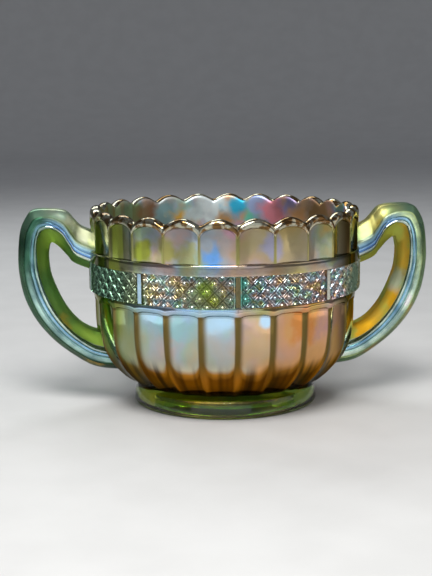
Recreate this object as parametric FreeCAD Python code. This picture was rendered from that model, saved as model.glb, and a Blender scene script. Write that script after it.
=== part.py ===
import FreeCAD, Part
import math
import os

os.makedirs("parts", exist_ok=True)

# Two-handled open sugar bowl in pressed glass.
# Millimetres, +Z up, handles on -X and +X, front mould seam on -Y.
# The origin is the centre of the foot's underside.
# The bowl is one glass casting. Each solid below is a region of it, and neighbours meet face to face.

Vector = FreeCAD.Vector
UP = Vector(0, 0, 1)
CENTRE = Vector(0, 0, 0)

# Heights of the boundaries between the regions
FOOT_TOP = 8.2
BAND_BOTTOM = 47.0
BAND_TOP = 58.8
RIM_CREST = 79.7

# Flutes: upright hollow channels side by side, which meet in sharp arrises
FLUTES = 24
FLUTE_STEP = 360.0 / FLUTES
FLUTE_DEPTH = 0.8
ARRIS_RADIUS = 54.0
COLLAR_FLUTE_TOP = 77.1

# Scalloped lip: one convex scallop over each flute, a valley over each arris
LIP_RADIUS = 54.3
LIP_BOTTOM = 72.0
LIP_SHOULDER = 77.6
LIP_RIDGE_RADIUS = 51.9
LIP_OUTER_ROUND = (53.5, 79.15)
LIP_INNER_ROUND = (50.5, 79.1)
RIM_VALLEY = 77.3
SCALLOP_QUARTER_RISE = 0.76      # share of the scallop's height reached halfway from valley to crest
ARCH_CROWN = 75.9
ARCH_SPRING = 72.3

# Upright ledge with a rounded top edge, between the collar and the diamond band
LEDGE_RADIUS = 54.7
LEDGE_TOP = 62.9
LEDGE_TOP_RADIUS = 54.62
LEDGE_ROUND = 0.6

# Diamond band: pyramids in a lattice, with plain upright bars between the panels
DIAMONDS_ROUND = 60
DIAMONDS_HIGH = 2
DIAMOND_POINT_RADIUS = 55.0
DIAMOND_GROOVE_RADIUS = 53.9
BAR_RADIUS = 55.1
BAR_WIDTH = 2.1
BAR_ANGLES = [0.0, 40.5, 81.0, 99.0, 139.5, 180.0]
HANDLE_PAD_RADIUS = 55.0
HANDLE_PAD_SPAN = 18.0

# Shoulder ring and the fluted body that curves in below it
SHOULDER_RADIUS = 52.9
SHOULDER_BULGE_RADIUS = 53.15
SHOULDER_TOP_RADIUS = 52.4
SHOULDER_BOTTOM = 42.2
SHOULDER_ARCH_CROWN = 43.4
SHOULDER_ARCH_SPRING = 42.5
BODY_OUTLINE = [
    (33.2, FOOT_TOP),
    (36.6, 9.0),
    (39.6, 10.4),
    (42.6, 12.6),
    (46.2, 16.2),
    (49.2, 20.4),
    (51.5, 26.0),
    (52.5, 33.0),
    (52.7, 40.0),
    (52.7, 46.5),
]

# Smooth inside of the bowl, as the plunger leaves it
INSIDE_FLOOR = 11.0
INSIDE_FLOOR_EDGE = (24.0, 11.6)
INSIDE_CORNER = (42.4, 19.0)
INSIDE_WALL_BOTTOM = (48.2, 34.0)
INSIDE_WALL_TOP = (49.8, LIP_SHOULDER)
INSIDE_OPEN_TOP = 95.0
CORE_RADIUS = 44.0

# Foot ring with a shallow recess underneath
FOOT_FLAT_RADIUS = 36.2
FOOT_LOW_ROUND = (37.1, 0.5)
FOOT_WIDEST = (37.4, 1.6)
FOOT_SIDE = (37.1, 4.0)
FOOT_SHOULDER = (36.0, 6.6)
FOOT_NECK_ROUND = (35.1, 7.7)
FOOT_RECESS_RADIUS = 29.0
FOOT_RECESS_ROUND = (28.2, 2.1)
FOOT_RECESS_HEIGHT = 3.2
FOOT_RECESS_FLAT_RADIUS = 26.0

# Cutting prisms run this far past what they cut
CUTTER_MARGIN = 4.0

# Handle: pairs of outer and inner points (radius, height), from the collar round to the lower body,
# with the half depth of the rib there
HANDLE_STATIONS = [
    ((49.0, 68.4), (50.0, 53.4), 7.4),
    ((57.2, 71.9), (60.2, 57.4), 7.2),
    ((60.2, 74.6), (63.4, 60.6), 7.0),
    ((63.9, 78.3), (66.6, 64.2), 6.9),
    ((70.6, 79.3), (69.2, 66.0), 6.8),
    ((77.0, 78.8), (70.2, 65.0), 6.8),
    ((80.2, 75.0), (70.6, 63.2), 6.8),
    ((82.0, 70.0), (70.9, 61.0), 6.8),
    ((82.9, 62.0), (70.8, 57.4), 6.8),
    ((82.8, 54.0), (70.1, 52.6), 6.9),
    ((80.9, 44.0), (67.8, 46.2), 7.0),
    ((76.6, 34.8), (64.6, 39.8), 7.1),
    ((70.0, 26.6), (60.6, 34.6), 7.2),
    ((61.6, 19.8), (56.6, 31.4), 7.4),
    ((52.6, 14.9), (51.6, 29.4), 7.6),
    ((40.0, 13.2), (43.0, 27.6), 7.8),
]
# Faceted handle section: share of the width, from the inner edge (0) to the outer edge (1),
# and share of the half depth
HANDLE_SECTION = [
    (0.0, 0.42),
    (0.42, 1.0),
    (0.79, 1.0),
    (1.0, 0.5),
    (1.0, -0.5),
    (0.79, -1.0),
    (0.42, -1.0),
    (0.0, -0.42),
]


def ring_point(radius, angle, height):
    """Point at a radius and height, its angle in degrees from +X."""
    turn = math.radians(angle)
    return Vector(radius * math.cos(turn), radius * math.sin(turn), height)


def side_point(radius, height):
    """Point of an outline in the XZ half plane."""
    return Vector(radius, 0, height)


def line(start, end):
    return Part.makeLine(start, end)


def arc(start, middle, end):
    return Part.Arc(start, middle, end).toShape()


def revolved(edges):
    """Solid of revolution about Z of a closed outline in the XZ half plane."""
    face = Part.Face(Part.Wire(edges))
    return face.revolve(CENTRE, UP, 360)


def turned(shape, angle):
    copy = shape.copy()
    copy.rotate(CENTRE, UP, angle)
    return copy


def round_the_ring(shape):
    """One copy of a shape for every flute, as one compound."""
    return Part.makeCompound([turned(shape, i * FLUTE_STEP) for i in range(FLUTES)])


def fluted_wire(radius, depth, height):
    """Closed outline of hollow arcs that meet in arrises on a circle of the given radius."""
    half_step = math.radians(FLUTE_STEP / 2)
    bottom_radius = radius * math.cos(half_step) - depth
    edges = []
    for i in range(FLUTES):
        start = ring_point(radius, i * FLUTE_STEP, height)
        middle = ring_point(bottom_radius, (i + 0.5) * FLUTE_STEP, height)
        end = ring_point(radius, (i + 1) * FLUTE_STEP, height)
        edges.append(arc(start, middle, end))
    return Part.Wire(edges)


def arch_prism(radius, bottom, spring, crown):
    """Radial prism with an arched top, as wide as a flute, on the middle of the first flute."""
    half_width = radius * math.sin(math.radians(FLUTE_STEP / 2))
    near = CORE_RADIUS
    edges = [
        line(Vector(near, -half_width, bottom), Vector(near, half_width, bottom)),
        line(Vector(near, half_width, bottom), Vector(near, half_width, spring)),
        arc(Vector(near, half_width, spring), Vector(near, 0, crown), Vector(near, -half_width, spring)),
        line(Vector(near, -half_width, spring), Vector(near, -half_width, bottom)),
    ]
    prism = Part.Face(Part.Wire(edges)).extrude(Vector(2 * (radius - near), 0, 0))
    return turned(prism, FLUTE_STEP / 2)


def valley_prism():
    """Radial prism that cuts the notch between two neighbouring scallops of the lip."""
    half_width = LIP_RADIUS * math.sin(math.radians(FLUTE_STEP / 2))
    near = CORE_RADIUS
    above = RIM_CREST + CUTTER_MARGIN
    quarter_height = RIM_VALLEY + SCALLOP_QUARTER_RISE * (RIM_CREST - RIM_VALLEY)
    left = Vector(near, -half_width, RIM_CREST)
    right = Vector(near, half_width, RIM_CREST)
    valley = Vector(near, 0, RIM_VALLEY)
    edges = [
        arc(left, Vector(near, -half_width / 2, quarter_height), valley),
        arc(valley, Vector(near, half_width / 2, quarter_height), right),
        line(right, Vector(near, half_width, above)),
        line(Vector(near, half_width, above), Vector(near, -half_width, above)),
        line(Vector(near, -half_width, above), left),
    ]
    return Part.Face(Part.Wire(edges)).extrude(Vector(2 * (LIP_RADIUS - near), 0, 0))


def bowl_inside():
    """The space inside the bowl, open at the top."""
    floor_middle = side_point(0, INSIDE_FLOOR)
    floor_edge = side_point(*INSIDE_FLOOR_EDGE)
    wall_bottom = side_point(*INSIDE_WALL_BOTTOM)
    wall_top = side_point(*INSIDE_WALL_TOP)
    open_edge = side_point(INSIDE_WALL_TOP[0], INSIDE_OPEN_TOP)
    open_middle = side_point(0, INSIDE_OPEN_TOP)
    edges = [
        line(floor_middle, floor_edge),
        arc(floor_edge, side_point(*INSIDE_CORNER), wall_bottom),
        line(wall_bottom, wall_top),
        line(wall_top, open_edge),
        line(open_edge, open_middle),
        line(open_middle, floor_middle),
    ]
    return revolved(edges)


def lip_ring():
    """Rounded lip, before its scallops are cut, with the arched undersides over the flutes."""
    inner_low = side_point(CORE_RADIUS, LIP_BOTTOM)
    outer_low = side_point(LIP_RADIUS, LIP_BOTTOM)
    outer_high = side_point(LIP_RADIUS, LIP_SHOULDER)
    ridge = side_point(LIP_RIDGE_RADIUS, RIM_CREST)
    inner_lip = side_point(*INSIDE_WALL_TOP)
    inner_high = side_point(CORE_RADIUS, LIP_SHOULDER)
    edges = [
        line(inner_low, outer_low),
        line(outer_low, outer_high),
        arc(outer_high, side_point(*LIP_OUTER_ROUND), ridge),
        arc(ridge, side_point(*LIP_INNER_ROUND), inner_lip),
        line(inner_lip, inner_high),
        line(inner_high, inner_low),
    ]
    arches = round_the_ring(arch_prism(LIP_RADIUS, LIP_BOTTOM - CUTTER_MARGIN, ARCH_SPRING, ARCH_CROWN))
    return revolved(edges).cut(arches)


def ledge_ring():
    """Ledge at the foot of the collar; the flutes end on its flat top."""
    inner_low = side_point(CORE_RADIUS, BAND_TOP)
    outer_low = side_point(LEDGE_RADIUS, BAND_TOP)
    outer_high = side_point(LEDGE_TOP_RADIUS, LEDGE_TOP - LEDGE_ROUND)
    top_edge = side_point(LEDGE_TOP_RADIUS - LEDGE_ROUND, LEDGE_TOP)
    inner_high = side_point(CORE_RADIUS, LEDGE_TOP)
    round_inset = LEDGE_ROUND * (1 - math.cos(math.radians(45)))
    round_middle = side_point(LEDGE_TOP_RADIUS - round_inset, LEDGE_TOP - round_inset)
    edges = [
        line(inner_low, outer_low),
        line(outer_low, outer_high),
        arc(outer_high, round_middle, top_edge),
        line(top_edge, inner_high),
        line(inner_high, inner_low),
    ]
    return revolved(edges)


def scalloped_collar():
    """Upper wall: fluted column, ledge below it and scalloped lip above it."""
    column_face = Part.Face(fluted_wire(ARRIS_RADIUS, FLUTE_DEPTH, BAND_TOP))
    column = column_face.extrude(Vector(0, 0, COLLAR_FLUTE_TOP - BAND_TOP))
    collar = column.fuse([lip_ring(), ledge_ring()])
    collar = collar.cut(bowl_inside())
    return collar.cut(round_the_ring(valley_prism()))


def lattice_point(column, row):
    """Corner or point of the diamond lattice: points stand out, corners lie in the grooves."""
    is_point = (column + row) % 2 == 0
    radius = DIAMOND_POINT_RADIUS if is_point else DIAMOND_GROOVE_RADIUS
    rows = 2 * DIAMONDS_HIGH
    height = BAND_BOTTOM + (BAND_TOP - BAND_BOTTOM) * row / rows
    return ring_point(radius, column * 180.0 / DIAMONDS_ROUND, height)


def flat_face(corners):
    return Part.Face(Part.makePolygon(corners + [corners[0]]))


def diamond_drum():
    """Solid drum whose side is the lattice of pyramids."""
    columns = 2 * DIAMONDS_ROUND
    rows = 2 * DIAMONDS_HIGH
    faces = []
    for column in range(columns):
        for row in range(rows):
            low_left = lattice_point(column, row)
            low_right = lattice_point(column + 1, row)
            high_left = lattice_point(column, row + 1)
            high_right = lattice_point(column + 1, row + 1)
            if (column + row) % 2 == 0:
                faces.append(flat_face([low_left, low_right, high_left]))
                faces.append(flat_face([low_right, high_right, high_left]))
            else:
                faces.append(flat_face([low_left, low_right, high_right]))
                faces.append(flat_face([low_left, high_right, high_left]))
    for row in (0, rows):
        faces.append(flat_face([lattice_point(column, row) for column in range(columns)]))
    shell = Part.Shell(faces)
    shell.sewShape()
    drum = Part.Solid(shell)
    if drum.Volume < 0:
        drum.reverse()
    return drum


def band_bar(angle):
    """Plain upright bar on the band, at an angle in degrees from the front seam."""
    half_width = BAR_WIDTH / 2
    depth = BAR_RADIUS - CORE_RADIUS
    block = Part.makeBox(depth, BAR_WIDTH, BAND_TOP - BAND_BOTTOM)
    block.translate(Vector(CORE_RADIUS, -half_width, BAND_BOTTOM))
    return turned(block, angle - 90)


def handle_pad(angle):
    """Plain sector of the band where a handle springs, its middle at an angle in degrees from +X."""
    corners = [
        side_point(CORE_RADIUS, BAND_BOTTOM),
        side_point(HANDLE_PAD_RADIUS, BAND_BOTTOM),
        side_point(HANDLE_PAD_RADIUS, BAND_TOP),
        side_point(CORE_RADIUS, BAND_TOP),
    ]
    sector = flat_face(corners).revolve(CENTRE, UP, HANDLE_PAD_SPAN)
    return turned(sector, angle - HANDLE_PAD_SPAN / 2)


def diamond_band():
    """Belt of diamonds round the bowl's middle, with its upright bars and the pads under the handles."""
    angles = BAR_ANGLES + [-angle for angle in BAR_ANGLES if 0 < angle < 180]
    bars = [band_bar(angle) for angle in angles]
    drum = diamond_drum().fuse(bars + [handle_pad(0), handle_pad(180)])
    return drum.cut(bowl_inside())


def shoulder_ring():
    """Convex ring under the band, arched over the lower flutes."""
    inner_low = side_point(CORE_RADIUS, SHOULDER_BOTTOM)
    outer_low = side_point(SHOULDER_RADIUS, SHOULDER_BOTTOM)
    outer_high = side_point(SHOULDER_TOP_RADIUS, BAND_BOTTOM)
    inner_high = side_point(CORE_RADIUS, BAND_BOTTOM)
    bulge = side_point(SHOULDER_BULGE_RADIUS, (SHOULDER_BOTTOM + BAND_BOTTOM) / 2)
    edges = [
        line(inner_low, outer_low),
        arc(outer_low, bulge, outer_high),
        line(outer_high, inner_high),
        line(inner_high, inner_low),
    ]
    cutter_bottom = SHOULDER_BOTTOM - CUTTER_MARGIN
    arch = arch_prism(SHOULDER_RADIUS, cutter_bottom, SHOULDER_ARCH_SPRING, SHOULDER_ARCH_CROWN)
    return revolved(edges).cut(round_the_ring(arch))


def lower_bowl():
    """Fluted lower body with the shoulder ring and the bowl's floor."""
    wires = []
    for radius, height in BODY_OUTLINE:
        wires.append(fluted_wire(radius, FLUTE_DEPTH * radius / ARRIS_RADIUS, height))
    body = Part.makeLoft(wires, True, False)
    return body.fuse(shoulder_ring()).cut(bowl_inside())


def foot_ring():
    """Plain standing foot, with a shallow recess underneath."""
    flat_edge = side_point(FOOT_FLAT_RADIUS, 0)
    widest = side_point(*FOOT_WIDEST)
    shoulder = side_point(*FOOT_SHOULDER)
    neck = side_point(BODY_OUTLINE[0][0], FOOT_TOP)
    top_middle = side_point(0, FOOT_TOP)
    recess_middle = side_point(0, FOOT_RECESS_HEIGHT)
    recess_edge = side_point(FOOT_RECESS_FLAT_RADIUS, FOOT_RECESS_HEIGHT)
    flat_inner = side_point(FOOT_RECESS_RADIUS, 0)
    edges = [
        line(flat_inner, flat_edge),
        arc(flat_edge, side_point(*FOOT_LOW_ROUND), widest),
        arc(widest, side_point(*FOOT_SIDE), shoulder),
        arc(shoulder, side_point(*FOOT_NECK_ROUND), neck),
        line(neck, top_middle),
        line(top_middle, recess_middle),
        line(recess_middle, recess_edge),
        arc(recess_edge, side_point(*FOOT_RECESS_ROUND), flat_inner),
    ]
    return revolved(edges)


def handle_wire(outer, inner, half_depth):
    """Faceted section of the handle between an outer and an inner point of the XZ plane."""
    outer_point = side_point(*outer)
    inner_point = side_point(*inner)
    corners = []
    for width_share, depth_share in HANDLE_SECTION:
        corner = inner_point + (outer_point - inner_point) * width_share
        corners.append(Vector(corner.x, half_depth * depth_share, corner.z))
    return Part.makePolygon(corners + [corners[0]])


def handle_blank():
    """Right handle, running on into the wall at both roots."""
    wires = [handle_wire(outer, inner, depth) for outer, inner, depth in HANDLE_STATIONS]
    return Part.makeLoft(wires, True, True)


def handle(blank, body_regions):
    """Handle whose roots end on the outside of the body."""
    return blank.cut(body_regions + [bowl_inside()])


def save(shape, node):
    solid = shape.Solids[0] if len(shape.Solids) == 1 else shape
    solid.exportStep("parts/" + node + ".step")


collar = scalloped_collar()
band = diamond_band()
bowl = lower_bowl()
foot = foot_ring()
right_blank = handle_blank()
left_blank = turned(right_blank, 180)

save(collar, "scalloped_collar")
save(band, "diamond_band")
save(bowl, "lower_bowl")
save(foot, "foot_ring")
save(handle(right_blank, [collar, band, bowl]), "right_handle")
save(handle(left_blank, [collar, band, bowl]), "left_handle")
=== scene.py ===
import math
from dataclasses import dataclass

import bpy
import numpy as np
from mathutils import Matrix, Vector


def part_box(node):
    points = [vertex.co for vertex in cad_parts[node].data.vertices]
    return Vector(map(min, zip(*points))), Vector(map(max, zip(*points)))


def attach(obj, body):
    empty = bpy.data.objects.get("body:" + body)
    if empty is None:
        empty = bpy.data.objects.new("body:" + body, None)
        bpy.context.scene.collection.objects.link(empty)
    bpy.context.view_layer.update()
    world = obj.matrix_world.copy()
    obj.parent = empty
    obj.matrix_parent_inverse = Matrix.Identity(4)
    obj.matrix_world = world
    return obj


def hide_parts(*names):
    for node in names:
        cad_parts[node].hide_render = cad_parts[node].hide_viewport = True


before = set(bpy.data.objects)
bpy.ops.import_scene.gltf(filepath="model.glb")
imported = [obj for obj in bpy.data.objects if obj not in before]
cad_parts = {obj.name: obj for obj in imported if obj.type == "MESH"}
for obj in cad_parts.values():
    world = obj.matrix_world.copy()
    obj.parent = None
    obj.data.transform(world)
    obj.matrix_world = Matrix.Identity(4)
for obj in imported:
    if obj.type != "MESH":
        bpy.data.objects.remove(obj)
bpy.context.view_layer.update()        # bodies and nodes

# A two-handled pressed-glass sugar bowl under an iridescent film, on a pale floor.
# Lengths are metres. A turn is an angle in radians about +Z from the front mould seam (-Y) towards +X.

MM = 0.001
FULL_TURN = 2 * math.pi
QUARTER_TURN = math.pi / 2

# Heights where the regions meet, from the CAD nodes
FOOT_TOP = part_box("lower_bowl")[0].z
BAND_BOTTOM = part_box("diamond_band")[0].z
BAND_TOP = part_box("diamond_band")[1].z
RIM_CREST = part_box("scalloped_collar")[1].z

# Neighbouring regions sink this far into each other, so that light crosses the glass between them unbent
LAP = 0.04 * MM

# Edges that turn by more than this are drawn sharp
SHARP_DEGREES = 38
BAND_SHARP_DEGREES = 24
HANDLE_SHARP_DEGREES = 32

# Flutes
FLUTES = 24
FLUTE_STEP = FULL_TURN / FLUTES
FLUTE_COLUMNS = 24
ARRIS_RADIUS = 54.0 * MM
FLUTE_DEPTH = 0.8 * MM
ARRIS_ROUND = 0.35 * MM
SEAM_HEIGHT = 0.10 * MM
SEAM_WIDTH = 0.16 * MM

# Scalloped lip: its outer side rises above the arches, then it rolls over the ridge and down inside
LIP_RADIUS = 54.3 * MM
LIP_RIDGE_RADIUS = 51.9 * MM
SCALLOP_DEPTH = 2.4 * MM
SCALLOP_ROUND = 1.1 * MM
ARCH_CROWN = RIM_CREST - 3.8 * MM
ARCH_RISE = 3.7 * MM
ARCH_POWER = 2.4
LIP_SIDE_RISE = 1.5 * MM
LIP_INNER_DROP = 1.9 * MM
LIP_FULLNESS = 0.85

# Ledge under the collar
LEDGE_RADIUS = 54.7 * MM
LEDGE_TOP_RADIUS = 54.62 * MM
LEDGE_TOP = BAND_TOP + 4.1 * MM
LEDGE_ROUND = 0.6 * MM

# Diamond band
DIAMONDS_ROUND = 60
DIAMONDS_HIGH = 2
DIAMOND_STEPS = 10
GROOVE_RADIUS = 53.9 * MM
RIDGE_RADIUS = 54.8 * MM
BUTTON_RADIUS = 55.0 * MM
BUTTON_WIDTH = 1.3 * MM
BUTTON_FULLNESS = 1.6
# Rim of a diamond: distance from its middle as a share, and radius
RIDGE_SHARES = [0.5, 0.64, 0.76, 0.84, 0.93, 1.0]
RIDGE_RADII = [GROOVE_RADIUS, 54.7 * MM, 55.0 * MM, 55.0 * MM, 54.75 * MM, 54.35 * MM]
RIDGE_SAG = 0.25 * MM
RIM_SHARE = 0.55
BAND_EDGE_RADIUS = 54.7 * MM
BAR_RADIUS = 55.05 * MM
BAR_DEGREES = [0.0, 40.5, 81.0, 99.0, 139.5, 180.0]
# Half width of a bar, and of the groove that it stands in, in mesh columns
BAR_COLUMNS = 3.1
BAR_GAP_COLUMNS = 5.1
HANDLE_PAD_RADIUS = 55.0 * MM
HANDLE_PAD_DEGREES = 9.0

# Shoulder ring and fluted body: outline points (radius, height) from the foot up
SHOULDER_RADIUS = 52.95 * MM
SHOULDER_BULGE = 0.25 * MM
SHOULDER_TOP_RADIUS = 52.5 * MM
BODY_ARCH_CROWN = 43.4 * MM
BODY_ARCH_RISE = 1.2 * MM
SHOULDER_STEP = 0.75 * MM
STEP_SHARES = (0.12, 0.35, 0.65, 0.88, 1.0)
BODY_OUTLINE = [
    (33.2, 8.2), (36.6, 9.0), (39.6, 10.4), (42.6, 12.6), (46.2, 16.2), (49.2, 20.4), (51.5, 26.0),
    (52.5, 33.0), (52.7, 40.0),
]
BODY_OUTLINE_TOP = BODY_OUTLINE[-1][1] * MM

# Inside of the bowl
INSIDE_OUTLINE = [
    (0.0, 11.0), (12.0, 11.1), (24.0, 11.7), (34.0, 14.0), (42.4, 19.4), (46.8, 26.0), (48.2, 34.0),
    (48.8, 47.0), (49.3, 58.8), (49.8, 77.6),
]
# Height whose inside radius the lip's roll ends on
INSIDE_TOP = RIM_CREST - 2 * MM

# Foot ring
FOOT_NECK_RADIUS = 33.2 * MM
RECESS_FLAT_RADIUS = 26.0 * MM
RECESS_HEIGHT = 3.2 * MM
FOOT_OUTLINE = [
    (27.4, 2.8), (28.2, 2.0), (28.7, 0.9), (29.1, 0.2), (29.6, 0.0), (33.0, 0.0), (36.2, 0.0),
    (36.75, 0.12), (37.15, 0.45), (37.38, 0.95), (37.4, 1.6), (37.3, 2.8), (37.1, 4.0), (36.7, 5.4),
    (36.2, 6.5), (35.75, 7.1), (35.1, 7.55), (34.2, 7.95),
]

# A surface that closes on the axis stops this far from it and ends in a point
AXIS_GAP = 0.6 * MM


def smooth_curve(points, count):
    """Catmull-Rom curve through points, as an array of count points."""
    p = np.asarray(points, float)
    p = np.vstack([2 * p[0] - p[1], p, 2 * p[-1] - p[-2]])
    spans = len(p) - 3
    along = np.linspace(0, spans, count)
    span = np.minimum(along.astype(int), spans - 1)
    t = (along - span)[:, None]
    a, b, c, d = p[span], p[span + 1], p[span + 2], p[span + 3]
    return 0.5 * (2 * b + (c - a) * t + (2 * a - 5 * b + 4 * c - d) * t**2 + (3 * b - a - 3 * c + d) * t**3)


BODY_CURVE = smooth_curve(BODY_OUTLINE, 240) * MM
INSIDE_CURVE = smooth_curve(INSIDE_OUTLINE, 400) * MM


def body_radius(height):
    """Radius of the lower body over its arrises."""
    return np.interp(height, BODY_CURVE[:, 1], BODY_CURVE[:, 0])


def inside_radius(height):
    """Radius of the bowl's smooth inside."""
    return np.interp(height, INSIDE_CURVE[:, 1], INSIDE_CURVE[:, 0])


def flute_share(turn, rounding=ARRIS_ROUND):
    """1 at an arris, which is slightly rounded, and 0 at a flute's middle."""
    phase = (turn / FLUTE_STEP) % 1.0
    distance = np.minimum(phase, 1 - phase) * FLUTE_STEP * ARRIS_RADIUS
    softened = np.sqrt(distance**2 + rounding**2) - rounding
    widest = math.hypot(FLUTE_STEP / 2 * ARRIS_RADIUS, rounding) - rounding
    return np.clip(1 - softened / widest, 0, 1)


def flute_factor(turn):
    """Radius of a hollow flute as a share of the radius over the arrises."""
    depth = FLUTE_DEPTH / ARRIS_RADIUS
    half = FLUTE_STEP / 2
    chord = math.sin(half)
    hollow = (chord**2 + depth**2) / (2 * depth)
    centre = math.cos(half) - depth + hollow
    from_middle = half * flute_share(turn)
    return centre * np.cos(from_middle) - np.sqrt(hollow**2 - (centre * np.sin(from_middle)) ** 2)


def seam_ridge(turn):
    """Fine raised line that the mould's joint leaves at the front and back."""
    distance = np.abs(np.arcsin(np.sin(turn))) * ARRIS_RADIUS
    return SEAM_HEIGHT * np.exp(-((distance / SEAM_WIDTH) ** 2))


def flute_turns():
    """Turns of the mesh columns, closer together towards the arrises."""
    u = np.linspace(-1, 1, FLUTE_COLUMNS + 1)[:-1]
    offsets = np.sin(u * QUARTER_TURN) * FLUTE_STEP / 2
    return np.concatenate([(i + 0.5) * FLUTE_STEP + offsets for i in range(FLUTES)])


def rows_between(start, end, count, with_first=False):
    """Rows of (radius, height) on straight lines from start to end; either may vary round the ring."""
    shares = np.linspace(0, 1, count + 1)[0 if with_first else 1 :]
    return [(start[0] + (end[0] - start[0]) * s, start[1] + (end[1] - start[1]) * s) for s in shares]


def quarter_steps(count):
    """Angles of a quarter turn in equal steps, without the first."""
    return np.linspace(0, QUARTER_TURN, count + 1)[1:]


def add_object(name, data):
    """Object in the scene."""
    made = bpy.data.objects.new(name, data)
    bpy.context.scene.collection.objects.link(made)
    return made


def new_object(name, vertices, faces, materials=(), face_slots=None, sharp_degrees=SHARP_DEGREES):
    """Smooth-shaded mesh in the scene, with the material slot of every face."""
    mesh = bpy.data.meshes.new(name)
    mesh.from_pydata(vertices.tolist(), [], faces)
    for material in materials:
        mesh.materials.append(material)
    if face_slots is not None:
        mesh.polygons.foreach_set("material_index", np.asarray(face_slots, np.int32))
    mesh.polygons.foreach_set("use_smooth", np.ones(len(mesh.polygons), bool))
    mesh.set_sharp_from_angle(angle=math.radians(sharp_degrees))
    mesh.validate()
    mesh.update()
    return add_object(name, mesh)


def ring_piece(name, turns, rows, closed, materials, slot_of_row, sharp_degrees=SHARP_DEGREES, split=False):
    """Ring or bowl from rows of (radius, height) round the axis.

    A closed piece joins its last row to its first. An open one ends in a point on the axis at both ends.
    slot_of_row gives the material slot of the faces between a row and the next. split cuts every quad into
    triangles along its more level diagonal, which keeps slanting ridges straight."""
    columns = len(turns)
    radii = np.array([np.broadcast_to(row[0], columns) for row in rows])
    heights = np.array([np.broadcast_to(row[1], columns) for row in rows])
    x = radii * np.sin(turns)
    y = -radii * np.cos(turns)
    vertices = np.stack([x, y, heights], axis=-1).reshape(-1, 3)
    faces = []
    slots = []
    bands = len(rows) if closed else len(rows) - 1
    for row in range(bands):
        low = row * columns
        high = ((row + 1) % len(rows)) * columns
        below, above = radii[row], radii[(row + 1) % len(rows)]
        for i in range(columns):
            j = (i + 1) % columns
            quad = (low + i, low + j, high + j, high + i)
            if not split:
                faces.append(quad)
            elif abs(below[i] - above[j]) < abs(below[j] - above[i]):
                faces += [quad[:3], (quad[0], quad[2], quad[3])]
            else:
                faces += [(quad[0], quad[1], quad[3]), quad[1:]]
        slots += [slot_of_row[row]] * (len(faces) - len(slots))
    if not closed:
        for row, flip in ((0, True), (len(rows) - 1, False)):
            pole = len(vertices)
            vertices = np.vstack([vertices, [0, 0, heights[row].mean()]])
            for i in range(columns):
                j = (i + 1) % columns
                a, b = row * columns + i, row * columns + j
                faces.append((b, a, pole) if flip else (a, b, pole))
            slots += [slot_of_row[max(row - 1, 0)]] * columns
    return new_object(name, vertices, faces, materials, slots, sharp_degrees)


# Material slots of a piece, and how many rows of the lip's inner roll carry the inside film
OUTSIDE, JOINED, INSIDE = 0, 1, 2
LIP_INSIDE_ROWS = 4


def scallop_top(turn):
    """Height of the lip's crest."""
    return RIM_CREST - SCALLOP_DEPTH * flute_share(turn, SCALLOP_ROUND) ** 2


def make_collar(materials):
    """Fluted upper wall with its ledge and its scalloped, rounded lip."""
    turns = flute_turns()
    share = flute_share(turns)
    flute = ARRIS_RADIUS * flute_factor(turns) + seam_ridge(turns)
    arch = ARCH_CROWN - ARCH_RISE * (1 - np.sqrt(1 - share**ARCH_POWER))
    top = scallop_top(turns)
    low = BAND_TOP - LAP
    rows = [(LEDGE_RADIUS, low)]
    rounded_from = (LEDGE_TOP_RADIUS, LEDGE_TOP - LEDGE_ROUND)
    rows += rows_between((LEDGE_RADIUS, BAND_TOP), rounded_from, 4, True)
    for angle in quarter_steps(3):
        rows.append((
            LEDGE_TOP_RADIUS - LEDGE_ROUND * (1 - math.cos(angle)) + seam_ridge(turns),
            LEDGE_TOP - LEDGE_ROUND * (1 - math.sin(angle)),
        ))
    inner_shelf = np.minimum(flute, LEDGE_TOP_RADIUS - LEDGE_ROUND)
    rows.append((inner_shelf, LEDGE_TOP))
    rows += rows_between((flute, LEDGE_TOP + LAP), (flute, arch), 14, True)
    side = arch + LIP_SIDE_RISE
    for angle in quarter_steps(6):
        rows.append((
            flute + (LIP_RADIUS - flute) * math.sin(angle),
            side - LIP_SIDE_RISE * math.cos(angle),
        ))
    for angle in quarter_steps(8):
        rows.append((
            LIP_RIDGE_RADIUS + (LIP_RADIUS - LIP_RIDGE_RADIUS) * math.cos(angle) ** LIP_FULLNESS,
            side + (top - side) * math.sin(angle) ** LIP_FULLNESS,
        ))
    inner = inside_radius(INSIDE_TOP)
    for angle in quarter_steps(7):
        rows.append((
            LIP_RIDGE_RADIUS + (inner - LIP_RIDGE_RADIUS) * math.sin(angle),
            top - LIP_INNER_DROP * (1 - math.cos(angle)),
        ))
    outside_rows = len(rows) - LIP_INSIDE_ROWS
    inner_top = top - LIP_INNER_DROP
    for s in np.linspace(0, 1, 13)[1:]:
        height = inner_top + (low - inner_top) * s
        rows.append((inside_radius(height), height))
    inside_rows = len(rows) - 1
    rows += rows_between((inside_radius(BAND_TOP), low), (LEDGE_RADIUS, low), 4)[:-1]
    slots = [OUTSIDE] * outside_rows + [INSIDE] * (inside_rows - outside_rows)
    slots += [JOINED] * (len(rows) - len(slots))
    return ring_piece("scalloped_collar_glass", turns, rows, True, materials, slots)


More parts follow.
